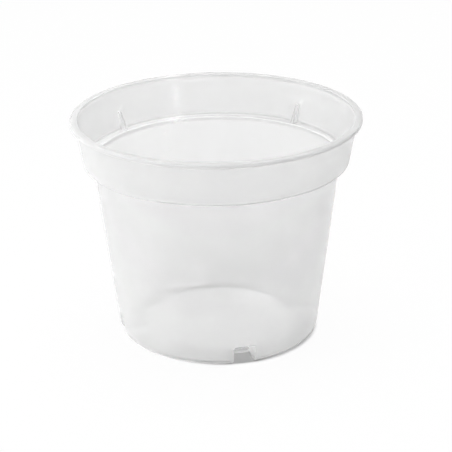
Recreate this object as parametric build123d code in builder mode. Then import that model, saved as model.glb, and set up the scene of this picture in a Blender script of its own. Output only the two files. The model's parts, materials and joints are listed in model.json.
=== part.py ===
from build123d import *
import os

# A clear orchid pot, one thin polypropylene moulding, given here as its zones.
# The pot stands on the plane Z = 0 with its axis on Z, and its front faces -Y.
# Lengths are in millimetres and angles in degrees, counted from +X towards +Y.

# Whole pot
rim_diameter = 130.0
pot_height = 102.4
wall = 1.0

# Rim lip
lip_reach = 2.4
lip_height = 2.0
lip_edge_round = 0.7
lip_mouth_round = 0.4

# Collar and its ledge, the collar measured from the ledge's underside to the rim's top
collar_height = 20.4
collar_taper = 3.2
ledge_width = 4.1
ledge_thickness = 1.2
ledge_outer_round = 1.0
ledge_inner_round = 0.4

# Side wall: how much smaller its radius is where its outside would reach the table
body_taper = 9.8

# Heel feet
heel_radius = 5.0
foot_width = 8.5
foot_ramp_run = 1.8
foot_shelf = 2.2

# Floor
floor_raise = 1.6
floor_thickness = 1.2
centre_radius = 8.0
centre_raise = 0.8
gate_radius = 1.2
gate_height = 0.5

# Drain slots
slot_count = 4
slot_width = 10.0
slot_top = 9.8
slot_corner = 1.2
slot_first_angle = -75.5

# Stacking lugs
lug_count = 4
lug_width = 1.6
lug_height = 8.6
lug_nose = 0.8
lug_setback = 0.4
lug_first_angle = -40.0

# How far a cutting or trimming shape runs past what it cuts
overrun = 2.0

# Radii and heights that follow from the sizes above
rim_radius = rim_diameter / 2
collar_top_radius = rim_radius - lip_reach
collar_foot_radius = collar_top_radius - collar_taper
body_top_radius = collar_foot_radius - ledge_width
body_foot_radius = body_top_radius - body_taper
foot_inner_radius = body_foot_radius - foot_width
foot_ramp_radius = foot_inner_radius - foot_ramp_run
floor_radius = foot_ramp_radius - foot_shelf
lip_foot = pot_height - lip_height
ledge_height = pot_height - collar_height
ledge_top = ledge_height + ledge_thickness
floor_top = floor_raise + floor_thickness


def along(height, low_height, low_radius, high_height, high_radius):
    """Radius at a height on the straight line between two points of the outline."""
    share = (height - low_height) / (high_height - low_height)
    return low_radius + share * (high_radius - low_radius)


def body_radius(height):
    """Outside radius of the side wall at a height above the table."""
    return along(height, 0, body_foot_radius, ledge_height, body_top_radius)


def collar_radius(height):
    """Outside radius of the collar at a height above the table."""
    return along(height, ledge_height, collar_foot_radius, lip_foot, collar_top_radius)


def corner(section, radius, height):
    """The corner of a section that is nearest to a radius and a height."""
    return section.vertices().sort_by_distance((radius, height))[0]


def facing_plane(angle):
    """Plane across the radius at the angle, through the pot's axis, with its y up."""
    sideways = Vector(0, 1, 0).rotate(Axis.Z, angle)
    normal = Vector(1, 0, 0).rotate(Axis.Z, angle)
    return Plane(origin=(0, 0, 0), x_dir=sideways, z_dir=normal)


os.makedirs("parts", exist_ok=True)

# Rim lip: a flat ring with rounded edges that stands out past the collar
lip_mouth_radius = collar_top_radius - wall
with BuildPart() as rim_lip:
    with BuildSketch(Plane.XZ) as lip_section:
        with BuildLine():
            Polyline(
                (lip_mouth_radius, lip_foot),
                (rim_radius, lip_foot),
                (rim_radius, pot_height),
                (lip_mouth_radius, pot_height),
                close=True,
            )
        make_face()
        fillet(lip_section.vertices().group_by(Axis.X)[-1], lip_edge_round)
        fillet(corner(lip_section, lip_mouth_radius, pot_height), lip_mouth_round)
    revolve(axis=Axis.Z)
rim_lip.part.label = "rim_lip"
export_step(rim_lip.part, "parts/rim_lip.step")

# Collar: the tapered band between the ledge and the lip
with BuildPart() as collar:
    with BuildSketch(Plane.XZ):
        with BuildLine():
            Polyline(
                (collar_radius(ledge_top) - wall, ledge_top),
                (collar_radius(ledge_top), ledge_top),
                (collar_top_radius, lip_foot),
                (collar_top_radius - wall, lip_foot),
                close=True,
            )
        make_face()
    revolve(axis=Axis.Z)
collar.part.label = "collar"
export_step(collar.part, "parts/collar.step")

# Collar ledge: the flat step outwards from the side wall to the collar
with BuildPart() as collar_ledge:
    with BuildSketch(Plane.XZ) as ledge_section:
        with BuildLine():
            Polyline(
                (body_top_radius, ledge_height),
                (collar_foot_radius, ledge_height),
                (collar_radius(ledge_top), ledge_top),
                (body_top_radius, ledge_top),
                close=True,
            )
        make_face()
        fillet(corner(ledge_section, collar_foot_radius, ledge_height), ledge_outer_round)
    revolve(axis=Axis.Z)
collar_ledge.part.label = "collar_ledge"
export_step(collar_ledge.part, "parts/collar_ledge.step")

# Side wall: the long tapered wall from the top of the slots to the ledge's upper face
with BuildPart() as side_wall:
    with BuildSketch(Plane.XZ) as wall_section:
        with BuildLine():
            Polyline(
                (body_radius(slot_top) - wall, slot_top),
                (body_radius(slot_top), slot_top),
                (body_top_radius, ledge_height),
                (body_top_radius, ledge_top),
                (body_top_radius - wall, ledge_top),
                (body_top_radius - wall, ledge_height),
                close=True,
            )
        make_face()
        fillet(corner(wall_section, body_top_radius - wall, ledge_top), ledge_inner_round)
    revolve(axis=Axis.Z)
side_wall.part.label = "side_wall"
export_step(side_wall.part, "parts/side_wall.step")

# Base floor: a disc that clears the table, with a raised centre and the moulding's gate mark
with BuildPart() as base_floor:
    with BuildSketch(Plane.XZ):
        with BuildLine():
            Polyline(
                (0, floor_raise + centre_raise),
                (centre_radius, floor_raise + centre_raise),
                (centre_radius + centre_raise, floor_raise),
                (floor_radius, floor_raise),
                (floor_radius, floor_top),
                (centre_radius + centre_raise, floor_top),
                (centre_radius, floor_top + centre_raise),
                (0, floor_top + centre_raise),
                close=True,
            )
        make_face()
    revolve(axis=Axis.Z)
    with BuildSketch(Plane.XY.offset(floor_raise + centre_raise)):
        Circle(gate_radius)
    extrude(amount=-gate_height)
base_floor.part.label = "base_floor"
export_step(base_floor.part, "parts/base_floor.step")

# Heel foot: the rounded heel between two drain slots, from the side wall in to the floor
slot_pitch = 360 / slot_count
slot_reach = rim_radius + overrun
heel_bore_radius = body_radius(floor_thickness) - wall
with BuildPart() as heel_foot:
    with BuildSketch(Plane.XZ) as foot_section:
        with BuildLine():
            Polyline(
                (body_radius(slot_top), slot_top),
                (body_foot_radius, 0),
                (foot_inner_radius, 0),
                (foot_ramp_radius, floor_raise),
                (floor_radius, floor_raise),
                (floor_radius, floor_top),
                (foot_ramp_radius, floor_top),
                (foot_inner_radius, floor_thickness),
                (heel_bore_radius, floor_thickness),
                (body_radius(slot_top) - wall, slot_top),
                close=True,
            )
        make_face()
        fillet(corner(foot_section, body_foot_radius, 0), heel_radius)
        fillet(corner(foot_section, heel_bore_radius, floor_thickness), heel_radius - wall)
    revolve(axis=Axis.Z, revolution_arc=slot_pitch)
    for side_angle in (0, slot_pitch):
        with BuildSketch(facing_plane(side_angle)):
            with BuildLine():
                Polyline(
                    (-slot_width / 2, -overrun),
                    (slot_width / 2, -overrun),
                    (slot_width / 2, slot_top - slot_corner),
                    (slot_width / 2 - slot_corner, slot_top),
                    (slot_corner - slot_width / 2, slot_top),
                    (-slot_width / 2, slot_top - slot_corner),
                    close=True,
                )
            make_face()
        extrude(amount=slot_reach, mode=Mode.SUBTRACT)

# The same foot stands four times round the pot, each from one slot to the next
for number in range(slot_count):
    foot = heel_foot.part.rotate(Axis.Z, slot_first_angle + number * slot_pitch)
    foot.label = f"heel_foot_{number + 1}"
    export_step(foot, f"parts/{foot.label}.step")

# Stacking lug: a thin rib that stands on the ledge and leans against the collar
lug_top = ledge_top + lug_height
collar_bore_at_foot = collar_radius(ledge_top) - wall
collar_bore_at_top = collar_radius(lug_top) - wall
with BuildPart() as stacking_lug:
    with BuildSketch(Plane.XZ):
        with BuildLine():
            Polyline(
                (body_top_radius - wall + ledge_inner_round + lug_setback, ledge_top),
                (collar_bore_at_top + overrun, ledge_top),
                (collar_bore_at_top + overrun, lug_top),
                (collar_bore_at_top - lug_nose, lug_top),
                close=True,
            )
        make_face()
    extrude(amount=lug_width / 2, both=True)
    # The back of the rib follows the tapered inside of the collar
    with BuildSketch(Plane.XZ):
        with BuildLine():
            Polyline(
                (0, ledge_top),
                (collar_bore_at_foot, ledge_top),
                (collar_bore_at_top, lug_top),
                (0, lug_top),
                close=True,
            )
        make_face()
    revolve(axis=Axis.Z, mode=Mode.INTERSECT)

# The same lug stands four times round the ledge
for number in range(lug_count):
    lug = stacking_lug.part.rotate(Axis.Z, lug_first_angle + number * 360 / lug_count)
    lug.label = f"stacking_lug_{number + 1}"
    export_step(lug, f"parts/{lug.label}.step")
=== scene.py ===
import json
import math

import bmesh
import bpy
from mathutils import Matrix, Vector


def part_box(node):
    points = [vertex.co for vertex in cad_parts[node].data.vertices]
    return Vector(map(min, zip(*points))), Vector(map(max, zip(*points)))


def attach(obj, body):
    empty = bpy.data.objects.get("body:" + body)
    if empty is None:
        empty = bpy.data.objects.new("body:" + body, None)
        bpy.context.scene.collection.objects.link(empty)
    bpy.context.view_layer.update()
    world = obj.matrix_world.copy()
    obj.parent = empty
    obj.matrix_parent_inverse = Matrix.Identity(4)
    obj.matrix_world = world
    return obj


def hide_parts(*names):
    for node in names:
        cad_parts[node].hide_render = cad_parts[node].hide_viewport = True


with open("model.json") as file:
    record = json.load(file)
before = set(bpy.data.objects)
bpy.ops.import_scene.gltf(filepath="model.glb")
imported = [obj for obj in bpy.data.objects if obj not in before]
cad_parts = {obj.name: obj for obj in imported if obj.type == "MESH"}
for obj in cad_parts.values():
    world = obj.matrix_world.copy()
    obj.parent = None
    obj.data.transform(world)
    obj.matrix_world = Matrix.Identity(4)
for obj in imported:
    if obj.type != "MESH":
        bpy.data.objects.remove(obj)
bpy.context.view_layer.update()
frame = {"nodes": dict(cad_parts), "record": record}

# A clear polypropylene orchid pot on a white table, in metres, in the frame of the CAD part.
MM = 0.001

# Camera: the photograph's viewpoint, in front of the pot and above its rim
CAMERA_PLACE = Vector((3.8, -642.8, 316.4)) * MM
CAMERA_PITCH = 0.3947
CAMERA_ROLL = -0.012
CAMERA_LENS = 121.15
SENSOR_WIDTH = 36.0

# Roundings of the moulding's corners
HEEL_ROUND = 5.0 * MM
RAMP_ROUND = 0.4 * MM
LEDGE_EDGE_ROUND = 1.0 * MM
LEDGE_BORE_ROUND = 0.6 * MM
LEDGE_INNER_ROUND = 0.4 * MM
LIP_EDGE_ROUND = 0.7 * MM
LIP_MOUTH_ROUND = 0.4 * MM
SLOT_CORNER_ROUND = 1.2 * MM

# Mesh density: columns run up the pot, and rings run round it
PITCH_COLUMNS = 48
SLOT_COLUMNS = 8
ARC_STEP = math.radians(15)
CORNER_RINGS = 4
SHARP_ANGLE = math.radians(35)

# How far the columns take to go back to even spacing: above a slot, with a ring at each share
# of that height, on the floor inside a slot, and above and beside a lug
WALL_FADE = 14 * MM
WALL_FADE_SHARES = (0.15, 0.4, 0.7, 1.0)
FLOOR_FADE = 10 * MM
LUG_FADE = 3 * MM
LUG_FADE_COLUMNS = 4

# The clear plastic, with pairs of values for where its clouds are thinnest and thickest
CLOUD_SCALE = 40.0
CLOUD_DETAIL = 3.0
TINT = (0.90, 0.92)
ROUGHNESS = (0.18, 0.25)
HAZE = (0.36, 0.40)
PLASTIC_IOR = 1.49
PLASTIC_GLOSS = 0.3
SCATTER_REACH = 3 * MM

# The slant of a wall that is seen edge-on, where one that faces the eye has 1
GRAZING_SLANT = 0.25

# How many clear faces a ray may pass
CLEAR_BOUNCES = 40

# How thick the plastic looks from its face, where the wall counts as 1
LIP_DEPTH = 0.9
LEDGE_DEPTH = 0.3
FLOOR_DEPTH = 2.0
FLOOR_RIM_DEPTH = 0.4
LUG_DEPTH = 0.3

# How far in from the floor's rim the look of the rim reaches
FLOOR_RIM_REACH = 1 * MM

# Painted shade on the moulding's edges, from 0 to 1, on the pot's light side and on its dark side, and
# the angle round the pot where that dark side is
LIP_LOW_EDGE_SHADE = (0.1, 0.7)
LIP_TOP_EDGE_SHADE = (0.35, 0.7)
LEDGE_OUTER_EDGE_SHADE = (0.2, 1.0)
LEDGE_BORE_EDGE_SHADE = (0.5, 0.25)
LEDGE_FLAT_SHADE = (0.2, 0.25)
LEDGE_RIM_EDGE_SHADE = (0.55, 0.95)
LEDGE_INNER_EDGE_SHADE = (0.9, 0.45)
LUG_SIDE_SHADE = (0.15, 0.3)
DARK_SIDE = math.radians(-30)

# The same painted shade for the edges that are alike all round. The foot's is a painted contact shadow
# that fades out over its height.
FOOT_CONTACT_SHADOW = 0.65
FOOT_CONTACT_SHADOW_HEIGHT = 1.5 * MM
SLOT_SIDE_SHADE = 0.07

# What an edge of 1 does: the share of its tint that it keeps under the painted shade, and how much
# thicker it looks
EDGE_SHADE_TINT = 0.62
EDGE_DEPTH = 2.0

# How far an edge's look reaches beside it, and how long a run has to be for that
EDGE_REACH = 0.9 * MM
EDGE_ROOM = 3 * MM

# The world's light, and the table: its size, how white it is, and its glow away from the pot
WORLD_LIGHT = 0.28
TABLE_SIZE = 6.0
TABLE_WHITE = 0.95
TABLE_GLOW = 0.95

# The painted contact shadow on the table under the feet, a grey ring: its middle, the distances from
# there over which it begins and ends, how white it is in front and behind and at the sides, and how
# far to the side it changes from one to the other
SHADOW_RING_MIDDLE = Vector((2.5, -0.5, 0)) * MM
SHADOW_RING_START = (31 * MM, 34 * MM)
SHADOW_RING_END = (41.5 * MM, 44 * MM)
SHADOW_RING_WHITE = (0.4, 0.85)
SHADOW_RING_TURN = (12 * MM, 26 * MM)

# Painted shade on the table under the floor: how white it is there at the left and at the right,
# and how far to the side it changes
UNDER_SHADE_WHITE = (0.35, 0.95)
UNDER_SHADE_TURN = (-20 * MM, 10 * MM)

# How much the distance behind the pot counts, where its shadow reaches further
BEHIND_SHARE = 0.35

# Area lamps, all turned to the same point: place, width and height, and watts
LAMP_TARGET = Vector((0, 0, 50)) * MM
LAMPS = {
    "key": ((-0.74, -0.41, 1.12), (0.15, 0.15), 1.5),
    "top": ((0, 0, 1.45), (0.9, 0.9), 12),
    "behind": ((0, 0.5, 1.3), (0.9, 0.9), 4),
    "left": ((-1.4, 0, 0.15), (0.9, 0.3), 7.6),
    "front": ((0, -1.4, 0.15), (0.9, 0.3), 3.4),
}

# The beam in through the mouth that makes the light patch at the right of the floor
PATCH_LAMP = Vector((-300, -200, 750)) * MM
PATCH_MIDDLE = Vector((23, 24, 4)) * MM
PATCH_BEAM = math.radians(2.2)
PATCH_SOFTNESS = 10 * MM
PATCH_WATTS = 9

# The narrow lamp over the front rim that makes the light streak on the far wall
STREAK_LAMP = Vector((-21, -450, 306)) * MM
STREAK_MIDDLE = Vector((-21, 55, 81)) * MM
STREAK_SIZE = (3 * MM, 50 * MM)
STREAK_SPREAD = math.radians(1)
STREAK_WATTS = 0.001

# Points of a CAD node closer than this in height or radius are on one ring
SAME = 0.02 * MM


def points(node):
    """Every point of a CAD node."""
    return [vert.co for vert in frame["nodes"][node].data.vertices]


def ring_points(node):
    """Radius and height of every point of a CAD node."""
    return [(math.hypot(point.x, point.y), point.z) for point in points(node)]


def radii_at(node, height):
    """Smallest and largest radius of a CAD node at a height."""
    radii = [r for r, z in ring_points(node) if abs(z - height) < SAME]
    return min(radii), max(radii)


def heights_at(node, radius):
    """Lowest and highest point of a CAD node at a radius."""
    heights = [z for r, z in ring_points(node) if abs(r - radius) < SAME]
    return min(heights), max(heights)


def angle_of(corners):
    """Angle round the pot's axis of the middle of a box."""
    middle = (Vector(corners[0]) + Vector(corners[1])) / 2
    return math.atan2(middle.y, middle.x)


def off_plane(point, angle):
    """Distance of a point from the upright plane that runs out from the axis at an angle."""
    return abs(point.x * math.sin(angle) - point.y * math.cos(angle))


# Sizes of the pot, read from the CAD nodes
pot_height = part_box("rim_lip")[1][2]
lip_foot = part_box("rim_lip")[0][2]
rim_radius = max(r for r, z in ring_points("rim_lip"))
mouth_radius, collar_top_radius = radii_at("collar", lip_foot)
wall = collar_top_radius - mouth_radius
ledge_height, ledge_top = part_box("collar_ledge")[0][2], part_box("collar_ledge")[1][2]
body_top_radius = radii_at("collar_ledge", ledge_height)[0]
collar_low_radius = radii_at("collar", ledge_top)[1]
slot_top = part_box("side_wall")[0][2]
body_low_radius = radii_at("side_wall", slot_top)[1]
floor_radius = max(r for r, z in ring_points("base_floor"))
floor_raise, floor_top = heights_at("base_floor", floor_radius)
floor_thickness = floor_top - floor_raise
centre_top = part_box("base_floor")[1][2]
centre_rise = centre_top - floor_top
centre_radius = radii_at("base_floor", centre_top)[1]
gate_radius = min(r for r, z in ring_points("base_floor") if r > SAME)
gate_low, gate_foot = heights_at("base_floor", gate_radius)
foot_inner_radius = radii_at("heel_foot_1", 0)[0]
heel_top_radii = [r for r, z in ring_points("heel_foot_1") if abs(z - floor_top) < SAME]
ramp_radius = min(r for r in heel_top_radii if r > floor_radius + SAME)
lug_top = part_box("stacking_lug_1")[1][2]
lug_foot_radius = radii_at("stacking_lug_1", ledge_top)[0]
lug_nose_radius = radii_at("stacking_lug_1", lug_top)[0]

# Number, angles and widths of the slots and the lugs
openings = {o["name"]: o["box_m"] for o in frame["record"]["physics"]["openings"]}
slot_count = sum(name.endswith("_side") for name in openings)
slot_pitch = math.tau / slot_count
slot_first = angle_of(openings["drain_slot_1_side"])
slot_half_width = min(off_plane(p, slot_first) for p in points("heel_foot_1") if p.z < SAME)
lug_names = [name for name in frame["nodes"] if name.startswith("stacking_lug")]
lug_angles = [angle_of(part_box(name)) for name in lug_names]
lug_half_width = max(off_plane(p, lug_angles[0]) for p in points(lug_names[0]))
columns = slot_count * PITCH_COLUMNS


def body_radius(height):
    """Outside radius of the side wall at a height."""
    share = (height - slot_top) / (ledge_height - slot_top)
    return body_low_radius + share * (body_top_radius - body_low_radius)


def collar_radius(height):
    """Outside radius of the collar at a height."""
    share = (height - ledge_top) / (lip_foot - ledge_top)
    return collar_low_radius + share * (collar_top_radius - collar_low_radius)


def arc_at(corners, i):
    """Points of a corner's rounding, or the corner itself where it is sharp."""
    radius, height, rounding, _ = corners[i]
    here = Vector((radius, height))
    if not rounding:
        return [here]
    back = (Vector(corners[i - 1][:2]) - here).normalized()
    onward = (Vector(corners[i + 1][:2]) - here).normalized()
    half = back.angle(onward) / 2
    centre = here + (back + onward).normalized() * rounding / math.sin(half)
    start = here + back * rounding / math.tan(half) - centre
    turn = math.pi - 2 * half
    steps = max(2, math.ceil(turn / ARC_STEP))
    if back.cross(onward) > 0:
        turn = -turn
    arc = []
    for step in range(steps + 1):
        turned = turn * step / steps
        spoke = Vector((
            start.x * math.cos(turned) - start.y * math.sin(turned),
            start.x * math.sin(turned) + start.y * math.cos(turned),
        ))
        arc.append(centre + spoke)
    return arc


def guard_ring(edge, end, neighbour):
    """The ring that ends an edge's look beside it, where the run to the neighbour has room."""
    if not edge or neighbour is None or (neighbour - end).length <= EDGE_ROOM:
        return []
    guard = end + (neighbour - end).normalized() * EDGE_REACH
    return [(guard.x, guard.y, 0)]


def outline(corners):
    """Rings (radius, height, edge) along corners (radius, height, rounding, edge), where edge is the
    painted shade of an edge.

    A corner may leave out its rounding and its edge, or its edge alone.
    """
    corners = [(*corner, 0, 0)[:4] for corner in corners]
    arcs = [arc_at(corners, i) for i in range(len(corners))]
    rings = []
    for i, arc in enumerate(arcs):
        edge = corners[i][3]
        before = arcs[i - 1][-1] if i else None
        after = arcs[i + 1][0] if i + 1 < len(arcs) else None
        rings += guard_ring(edge, arc[0], before)
        rings += [(point.x, point.y, edge) for point in arc]
        rings += guard_ring(edge, arc[-1], after)
    return rings


def slot_narrowing(height):
    """How much nearer the slot's edge is to its middle, in the rounded corners at its top."""
    into = height - (slot_top - SLOT_CORNER_ROUND)
    if into <= 0:
        return 0
    into = min(into, SLOT_CORNER_ROUND)
    return SLOT_CORNER_ROUND - math.sqrt(SLOT_CORNER_ROUND ** 2 - into ** 2)


def slot_share(radius, height):
    """1 where a column has to follow the slot's edge, down to 0 where the columns are even."""
    if height > slot_top:
        return max(0, 1 - (height - slot_top) / WALL_FADE)
    return min(1, max(0, 1 - (floor_radius - radius) / FLOOR_FADE))


def heel_corners(inward):
    """The heel's outline from the floor's edge up to the slot's top, and the same set inward."""
    thick = floor_thickness if inward else 0
    side = wall if inward else 0
    corners = [
        (floor_radius, floor_raise + thick),
        (ramp_radius, floor_raise + thick, RAMP_ROUND),
        (foot_inner_radius, thick, RAMP_ROUND),
        (body_radius(thick) - side, thick, HEEL_ROUND - side),
    ]
    start = slot_top - SLOT_CORNER_ROUND
    for ring in range(CORNER_RINGS + 1):
        height = start + SLOT_CORNER_ROUND * math.sin(math.pi / 2 * ring / CORNER_RINGS)
        corners.append((body_radius(height) - side, height))
    return corners


# The section, as one line from the floor's underside, out, up the outside, over the lip,
# down the inside and back to the axis. Each part starts where the one before ends.
under_floor = outline([
    (0, gate_low),
    (gate_radius, gate_low),
    (gate_radius, gate_foot),
    (centre_radius, floor_raise + centre_rise),
    (centre_radius + centre_rise, floor_raise),
    (floor_radius - FLOOR_FADE, floor_raise),
    (floor_radius - FLOOR_RIM_REACH, floor_raise),
])
heel_outside = outline(heel_corners(False))
heel_inside = outline(heel_corners(True))[::-1]
fade_heights = [slot_top + WALL_FADE * share for share in WALL_FADE_SHARES]
outside = outline(
    [(body_radius(height), height) for height in fade_heights]
    + [
        (body_top_radius, ledge_height),
        (collar_radius(ledge_height), ledge_height, LEDGE_EDGE_ROUND, LEDGE_OUTER_EDGE_SHADE),
        (collar_top_radius, lip_foot),
        (rim_radius, lip_foot, LIP_EDGE_ROUND, LIP_LOW_EDGE_SHADE),
        (rim_radius, pot_height, LIP_EDGE_ROUND, LIP_TOP_EDGE_SHADE),
        (mouth_radius, pot_height, LIP_MOUTH_ROUND, LIP_TOP_EDGE_SHADE),
        (mouth_radius, lip_foot),
    ]
)
bore_above_lug = outline([
    (collar_radius(lug_top + LUG_FADE) - wall, lug_top + LUG_FADE),
    (collar_radius(lug_top) - wall, lug_top),
])
bore_corner = outline([
    (collar_radius(lug_top) - wall, lug_top),
    (collar_radius(ledge_top) - wall, ledge_top, LEDGE_BORE_ROUND, LEDGE_BORE_EDGE_SHADE),
    ((collar_low_radius + body_top_radius) / 2 - wall, ledge_top, 0, LEDGE_FLAT_SHADE),
    (lug_foot_radius, ledge_top, 0, LEDGE_FLAT_SHADE),
])[1:]
inside = outline(
    [
        (lug_foot_radius, ledge_top, 0, LEDGE_FLAT_SHADE),
        (body_top_radius - wall, ledge_top, LEDGE_INNER_ROUND, LEDGE_RIM_EDGE_SHADE),
        (body_top_radius - wall, ledge_height, 0, LEDGE_INNER_EDGE_SHADE),
    ]
    + [(body_radius(height) - wall, height) for height in reversed(fade_heights)]
)[1:]
over_floor = outline([
    (floor_radius - FLOOR_RIM_REACH, floor_top),
    (floor_radius - FLOOR_FADE, floor_top),
    (centre_radius + centre_rise, floor_top),
    (centre_radius, centre_top),
    (0, centre_top),
])
section = under_floor + heel_outside + outside + bore_above_lug + bore_corner + inside
section += heel_inside + over_floor

# Numbers of the rings where the slots and the lugs begin and end, along the section
outer_edge = len(under_floor)
outer_top = outer_edge + len(heel_outside) - 1
lug_high = outer_top + len(outside) + len(bore_above_lug)
lug_low = lug_high + len(bore_corner)
inner_top = lug_low + len(inside) + 1
inner_edge = inner_top + len(heel_inside) - 1


def in_heel(ring):
    """True on the rings that the slots cut."""
    return outer_edge <= ring <= outer_top or inner_top <= ring <= inner_edge


def on_lug(ring):
    """True on the rings that a lug's sides follow."""
    return lug_high <= ring <= lug_low


def is_slot_column(column):
    """True if the strip from this column to the next lies in a drain slot."""
    return (column + SLOT_COLUMNS // 2) % PITCH_COLUMNS < SLOT_COLUMNS


def is_slot_side(column):
    """True if a drain slot's side runs up this column."""
    return is_slot_column(column) != is_slot_column((column - 1) % columns)


def lug_left_column(angle):
    """The column that a lug's first side follows: the lug takes the room up to the next one."""
    return math.floor(((angle - slot_first) % math.tau) / (math.tau / columns))


lug_columns = [lug_left_column(angle) for angle in lug_angles]


def lug_shift(column, radius):
    """How far a column turns aside for a lug's side to lie on it, less and less beside the lug."""
    half = math.asin(lug_half_width / radius)
    for lug_angle, left in zip(lug_angles, lug_columns):
        for side, side_column in ((-1, left), (1, left + 1)):
            away = (column - side_column) * side
            away = (away + columns / 2) % columns - columns / 2
            if 0 <= away < LUG_FADE_COLUMNS:
                even = slot_first + side_column * math.tau / columns
                shift = (lug_angle + side * half - even + math.pi) % math.tau - math.pi
                return shift * (1 - away / LUG_FADE_COLUMNS)
    return 0


def column_angle(column, ring):
    """Angle of a column where it crosses a ring, with slot and lug edges met exactly."""
    radius, height, _ = section[ring]
    number = round(column / PITCH_COLUMNS)
    place = column - number * PITCH_COLUMNS
    half_slot, half_pitch = SLOT_COLUMNS / 2, PITCH_COLUMNS / 2
    slot_side = slot_pitch * half_slot / PITCH_COLUMNS
    share = slot_share(radius, height)
    if share:
        cut_radius = max(radius, floor_radius - FLOOR_FADE)
        exact = math.asin((slot_half_width - slot_narrowing(height)) / cut_radius)
        slot_side = share * exact + (1 - share) * slot_side
    if abs(place) <= half_slot:
        turned = slot_side * place / half_slot
    else:
        past = (abs(place) - half_slot) / (half_pitch - half_slot)
        turned = math.copysign(slot_side + past * (slot_pitch / 2 - slot_side), place)
    angle = slot_first + number * slot_pitch + turned
    return angle + lug_shift(column, radius) if on_lug(ring) else angle


def on_ring(radius, height, angle):
    """The point at a radius, height and angle."""
    return Vector((radius * math.cos(angle), radius * math.sin(angle), height))


def darkness(edge, angle):
    """How dark the painted shade of an edge (light side, dark side) is at an angle, or 0 for no edge.
    """
    if not edge:
        return 0
    light, dark = edge
    return light + (dark - light) * (1 + math.cos(angle - DARK_SIDE)) / 2


def depth_at(ring):
    """How thick the plastic looks at a ring, where the wall counts as 1."""
    radius, height, _ = section[ring]
    if height >= lip_foot:
        return LIP_DEPTH
    if ledge_height - SAME < height < ledge_top + SAME and radius < collar_low_radius:
        return LEDGE_DEPTH
    if radius < floor_radius - SAME:
        return FLOOR_DEPTH
    if radius < floor_radius + SAME:
        return FLOOR_RIM_DEPTH
    return 1


def edge_shade_at(ring, column):
    """How dark the painted shade is where a column crosses a ring, or 0 away from the edges."""
    radius, height, edge = section[ring]
    angle = column_angle(column, ring)
    dark = darkness(edge, angle)
    if on_lug(ring) and column in lug_columns:
        dark = max(dark, darkness(LUG_SIDE_SHADE, angle))
    # Painted shade on the slots' sides
    if in_heel(ring) and is_slot_side(column):
        dark = SLOT_SIDE_SHADE
    # Painted contact shadow along the lowest part of the foot, next to the table
    if radius > foot_inner_radius + SAME and ring < outer_top:
        dark = max(dark, FOOT_CONTACT_SHADOW * (1 - height / FOOT_CONTACT_SHADOW_HEIGHT))
    return dark


def point_grid(add):
    """The points of each ring, by column. A ring on the axis is one point, many times over."""
    grid = []
    for ring, (radius, height, _) in enumerate(section):
        if not radius:
            grid.append([add((0, 0, height), depth_at(ring), 0)] * columns)
            continue
        row = []
        for column in range(columns):
            place = on_ring(radius, height, column_angle(column, ring))
            row.append(add(place, depth_at(ring), edge_shade_at(ring, column)))
        grid.append(row)
    return grid


def add_skin(mesh, grid):
    """The faces between the rings, left out where the slots are and where the lugs stand."""
    for ring in range(len(section) - 1):
        at_lug = on_lug(ring) and on_lug(ring + 1)
        at_slot = in_heel(ring) and in_heel(ring + 1)
        for column in range(columns):
            if (at_slot and is_slot_column(column)) or (at_lug and column in lug_columns):
                continue
            following = (column + 1) % columns
            corners = [grid[ring][column], grid[ring][following]]
            corners += [grid[ring + 1][following], grid[ring + 1][column]]
            mesh.faces.new(list(dict.fromkeys(corners)))


def add_slot_edges(mesh, grid):
    """The slots' edges: across the top, along the floor's rim, and up both sides."""
    for column in range(columns):
        if is_slot_column(column):
            following = (column + 1) % columns
            for low, high in ((outer_edge, inner_edge), (outer_top, inner_top)):
                corners = [grid[low][column], grid[low][following]]
                corners += [grid[high][following], grid[high][column]]
                mesh.faces.new(corners)
        if is_slot_side(column):
            for step in range(outer_top - outer_edge):
                low, high = outer_edge + step, inner_edge - step
                corners = [grid[low][column], grid[low + 1][column]]
                corners += [grid[high - 1][column], grid[high][column]]
                mesh.faces.new(corners)


def add_lugs(mesh, grid, add):
    """The lugs: two sides, one of them with painted shade, a sloping front and a flat top."""
    half = math.asin(lug_half_width / lug_nose_radius)
    for angle, left in zip(lug_angles, lug_columns):
        right = (left + 1) % columns
        # Painted shade on each lug's first side
        dark = darkness(LUG_SIDE_SHADE, angle)
        noses = [
            add(on_ring(lug_nose_radius, lug_top, angle - half), LUG_DEPTH, dark),
            add(on_ring(lug_nose_radius, lug_top, angle + half), LUG_DEPTH, 0),
        ]
        for column, nose in zip((left, right), noses):
            mesh.faces.new([grid[ring][column] for ring in range(lug_high, lug_low + 1)] + [nose])
        for ring in (lug_low, lug_high):
            mesh.faces.new([grid[ring][left], grid[ring][right], noses[1], noses[0]])


def build_pot():
    """The whole moulding as one closed mesh: the section turned round the axis."""
    mesh = bmesh.new()
    depth_layer = mesh.verts.layers.float.new("depth")
    edge_shade_layer = mesh.verts.layers.float.new("edge")

    def add(point, depth, edge):
        """A new point, with how thick the plastic looks there and how dark its painted edge shade is.
        """
        vert = mesh.verts.new(point)
        vert[depth_layer] = depth
        vert[edge_shade_layer] = edge
        return vert

    grid = point_grid(add)
    add_skin(mesh, grid)
    add_slot_edges(mesh, grid)
    add_lugs(mesh, grid, add)
    unused = [vert for vert in mesh.verts if not vert.link_faces]
    bmesh.ops.delete(mesh, geom=unused, context="VERTS")
    bmesh.ops.recalc_face_normals(mesh, faces=mesh.faces)
    for face in mesh.faces:
        face.smooth = True
    data = bpy.data.meshes.new("pot_shell")
    mesh.to_mesh(data)
    mesh.free()
    data.set_sharp_from_angle(angle=SHARP_ANGLE)
    shell = bpy.data.objects.new("pot_shell", data)
    bpy.context.collection.objects.link(shell)
    return shell


def new_material(name):
    """A material and its node tree, emptied."""
    material = bpy.data.materials.new(name)
    material.use_nodes = True
    material.node_tree.nodes.clear()
    return material, material.node_tree


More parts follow.
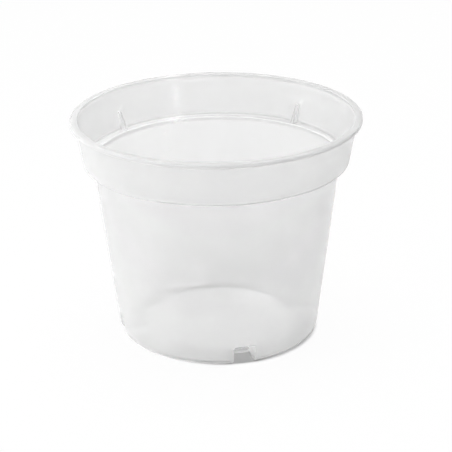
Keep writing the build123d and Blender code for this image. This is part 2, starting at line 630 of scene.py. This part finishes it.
def add_node(tree, kind, x, y, **values):
    """Adds a node at a place in the editor and sets its plain values."""
    made = tree.nodes.new(kind)
    made.location = (x, y)
    for name, value in values.items():
        setattr(made, name, value)
    return made


def give(tree, socket, source):
    """Links an input to an output, or sets it to a plain value."""
    if isinstance(source, bpy.types.NodeSocket):
        tree.links.new(source, socket)
    else:
        socket.default_value = source


def calc(tree, x, y, operation, *sources):
    """The output of a Math node."""
    made = add_node(tree, "ShaderNodeMath", x, y, operation=operation)
    for socket, source in zip(made.inputs, sources):
        give(tree, socket, source)
    return made.outputs["Value"]


def vector_calc(tree, x, y, operation, *sources):
    """The output of a Vector Math node: a number for a length, and else a vector."""
    made = add_node(tree, "ShaderNodeVectorMath", x, y, operation=operation)
    for socket, source in zip(made.inputs, sources):
        give(tree, socket, source)
    return made.outputs["Value" if operation == "LENGTH" else "Vector"]


def ranged(tree, x, y, source, values, span=(0, 1), kind="LINEAR"):
    """The output of a Map Range node, from a span of its source to a pair of values."""
    made = add_node(tree, "ShaderNodeMapRange", x, y, interpolation_type=kind)
    ends = zip(("From Min", "From Max", "To Min", "To Max"), (*span, *values))
    for name, value in ends:
        give(tree, made.inputs[name], value)
    tree.links.new(source, made.inputs["Value"])
    return made.outputs["Result"]


def clear_plastic():
    """Clear polypropylene with a light frost: hazier where it is thick, edge-on or clouded, and with
    painted shade on its edges.
    """
    material, tree = new_material("clear_polypropylene")
    link = tree.links.new
    out = add_node(tree, "ShaderNodeOutputMaterial", 900, 0)
    shader = add_node(tree, "ShaderNodeBsdfPrincipled", 600, 0)
    shader.inputs["IOR"].default_value = PLASTIC_IOR
    shader.inputs["Subsurface Weight"].default_value = 1.0
    shader.inputs["Subsurface Scale"].default_value = SCATTER_REACH
    shader.inputs["Subsurface Radius"].default_value = (1, 1, 1)
    link(shader.outputs[0], out.inputs["Surface"])

    place = add_node(tree, "ShaderNodeTexCoord", -1000, 0)
    noise = add_node(tree, "ShaderNodeTexNoise", -800, 0)
    noise.inputs["Scale"].default_value = CLOUD_SCALE
    noise.inputs["Detail"].default_value = CLOUD_DETAIL
    link(place.outputs["Object"], noise.inputs["Vector"])
    cloud = noise.outputs["Fac"]
    edge = add_node(tree, "ShaderNodeAttribute", -800, 500, attribute_name="edge").outputs["Fac"]
    depth = add_node(tree, "ShaderNodeAttribute", -800, -700, attribute_name="depth").outputs["Fac"]

    tint = ranged(tree, -500, 200, cloud, TINT)
    # Painted shade: the edge attribute darkens the colour at the moulding's edges, most on the pot's
    # dark side
    painted_edge_shade = ranged(tree, -500, 500, edge, (1.0, EDGE_SHADE_TINT))
    shaded = calc(tree, -350, 300, "MULTIPLY", tint, painted_edge_shade)
    colour = add_node(tree, "ShaderNodeCombineColor", -200, 200)
    for channel in ("Red", "Green", "Blue"):
        link(shaded, colour.inputs[channel])
    link(colour.outputs[0], shader.inputs["Base Color"])

    # The roundings scatter what they reflect, so they have no highlight of their own
    shine = ranged(tree, -500, 800, edge, (PLASTIC_GLOSS, 0.0))
    link(shine, shader.inputs["Specular IOR Level"])
    link(ranged(tree, -500, -100, cloud, ROUGHNESS), shader.inputs["Roughness"])

    # Haze: 1 - exp(-haze * depth / slant), where slant is how squarely the wall faces the eye
    haze = ranged(tree, -500, -400, cloud, HAZE)
    deeper = calc(tree, -350, -700, "MULTIPLY_ADD", edge, EDGE_DEPTH, depth)
    thick = calc(tree, -250, -500, "MULTIPLY", haze, deeper)
    facing = add_node(tree, "ShaderNodeLayerWeight", -500, -900)
    slant = ranged(tree, -250, -800, facing.outputs["Facing"], (1.0, GRAZING_SLANT))
    path = calc(tree, 0, -600, "DIVIDE", thick, slant)
    less = calc(tree, 150, -600, "MULTIPLY", path, -1.0)
    passed = calc(tree, 300, -600, "EXPONENT", less)
    link(calc(tree, 450, -600, "SUBTRACT", 1.0, passed), shader.inputs["Alpha"])
    return material


def shown_ray(tree):
    """1 for the rays that look at a thing, straight, in a mirror or through glass, and 0 for light."""
    path = add_node(tree, "ShaderNodeLightPath", -900, 300)
    total = path.outputs["Is Camera Ray"]
    for name in ("Is Glossy Ray", "Is Transmission Ray"):
        total = calc(tree, -700, 300, "MAXIMUM", total, path.outputs[name])
    return total


def white_table():
    """The white table: it takes the pot's shadow, and a painted contact shadow darkens it where the
    pot stands.
    """
    bpy.ops.mesh.primitive_plane_add(size=TABLE_SIZE)
    table = bpy.context.object
    table.name = "table"
    material, tree = new_material("table_white")
    link = tree.links.new
    place = add_node(tree, "ShaderNodeTexCoord", -1300, -100).outputs["Object"]
    parted = add_node(tree, "ShaderNodeSeparateXYZ", -1100, -500)
    link(place, parted.inputs[0])
    across = parted.outputs["X"]
    near = vector_calc(tree, -1100, -100, "SUBTRACT", place, SHADOW_RING_MIDDLE)
    away = vector_calc(tree, -700, -200, "LENGTH", near)

    # Behind the pot, distances count less
    behind = vector_calc(tree, -950, 0, "MULTIPLY", near, (1, BEHIND_SHARE, 1))
    shortened = vector_calc(tree, -800, 0, "MINIMUM", near, behind)
    far = vector_calc(tree, -650, 0, "LENGTH", shortened)
    glowing = ranged(tree, -450, 0, far, (0, TABLE_GLOW), SHADOW_RING_END, "SMOOTHSTEP")

    # The painted shadow ring is darkest in front and behind
    aside = calc(tree, -900, -400, "ABSOLUTE", across)
    shadow_ring_white = ranged(tree, -700, -400, aside, SHADOW_RING_WHITE, SHADOW_RING_TURN, "SMOOTHSTEP")
    outer = ranged(tree, -450, -300, away, (shadow_ring_white, TABLE_WHITE), SHADOW_RING_END, "SMOOTHSTEP")

    # Painted shade under the floor, darker at the left, where less light comes in
    under_shade_white = ranged(tree, -700, -700, across, UNDER_SHADE_WHITE, UNDER_SHADE_TURN, "SMOOTHSTEP")
    inner = ranged(tree, -450, -600, away, (under_shade_white, 0), SHADOW_RING_START, "SMOOTHSTEP")
    matt = add_node(tree, "ShaderNodeBsdfDiffuse", 0, -200)
    link(calc(tree, -200, -400, "MAXIMUM", outer, inner), matt.inputs["Color"])
    glow = add_node(tree, "ShaderNodeEmission", 0, 100)
    glow.inputs["Strength"].default_value = 1.0
    mix = add_node(tree, "ShaderNodeMixShader", 300, 0)
    link(calc(tree, -100, 200, "MULTIPLY", shown_ray(tree), glowing), mix.inputs[0])
    link(matt.outputs[0], mix.inputs[1])
    link(glow.outputs[0], mix.inputs[2])
    out = add_node(tree, "ShaderNodeOutputMaterial", 600, 0)
    link(mix.outputs[0], out.inputs["Surface"])
    table.data.materials.append(material)


def white_world():
    """White all round for the eye and for reflections, and a softer light for the rest."""
    world = bpy.data.worlds.new("studio")
    bpy.context.scene.world = world
    world.use_nodes = True
    tree = world.node_tree
    tree.nodes.clear()
    sky = add_node(tree, "ShaderNodeBackground", 300, 0)
    level = ranged(tree, 0, 0, shown_ray(tree), (WORLD_LIGHT, 1.0))
    tree.links.new(level, sky.inputs["Strength"])
    out = add_node(tree, "ShaderNodeOutputWorld", 600, 0)
    tree.links.new(sky.outputs[0], out.inputs["Surface"])


def hang(light, place, target, watts):
    """Hangs a light at a place, turned to a target."""
    light.energy = watts
    hung = bpy.data.objects.new(light.name, light)
    hung.location = place
    hung.rotation_euler = (Vector(target) - Vector(place)).to_track_quat("-Z", "Y").to_euler()
    bpy.context.collection.objects.link(hung)


def lamp(name, place, target, size, watts, spread=math.pi):
    """A rectangular area lamp."""
    light = bpy.data.lights.new(name, "AREA")
    light.shape = "RECTANGLE"
    light.size, light.size_y = size
    light.spread = spread
    hang(light, place, target, watts)


def beam(name, place, target, width, softness, watts):
    """A narrow beam with a soft rim, of a width given as an angle."""
    light = bpy.data.lights.new(name, "SPOT")
    light.spot_size = width
    light.spot_blend = 1.0
    light.shadow_soft_size = softness
    hang(light, place, target, watts)


def place_camera():
    """The photograph's camera."""
    data = bpy.data.cameras.new("camera")
    data.lens = CAMERA_LENS
    data.sensor_width = SENSOR_WIDTH
    eye = bpy.data.objects.new("camera", data)
    eye.location = CAMERA_PLACE
    eye.rotation_euler = (math.pi / 2 - CAMERA_PITCH, 0, 0)
    eye.rotation_euler.rotate_axis("Z", CAMERA_ROLL)
    bpy.context.collection.objects.link(eye)
    bpy.context.scene.camera = eye


pot = build_pot()
pot.data.materials.append(clear_plastic())
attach(pot, "root")
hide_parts(*frame["nodes"])

white_table()
white_world()
for name, (place, size, watts) in LAMPS.items():
    lamp(name, place, LAMP_TARGET, size, watts)
beam("floor_patch", PATCH_LAMP, PATCH_MIDDLE, PATCH_BEAM, PATCH_SOFTNESS, PATCH_WATTS)
lamp("streak", STREAK_LAMP, STREAK_MIDDLE, STREAK_SIZE, STREAK_WATTS, STREAK_SPREAD)
place_camera()
scene = bpy.context.scene
scene.view_settings.view_transform = "Standard"
scene.cycles.transparent_max_bounces = CLEAR_BOUNCES
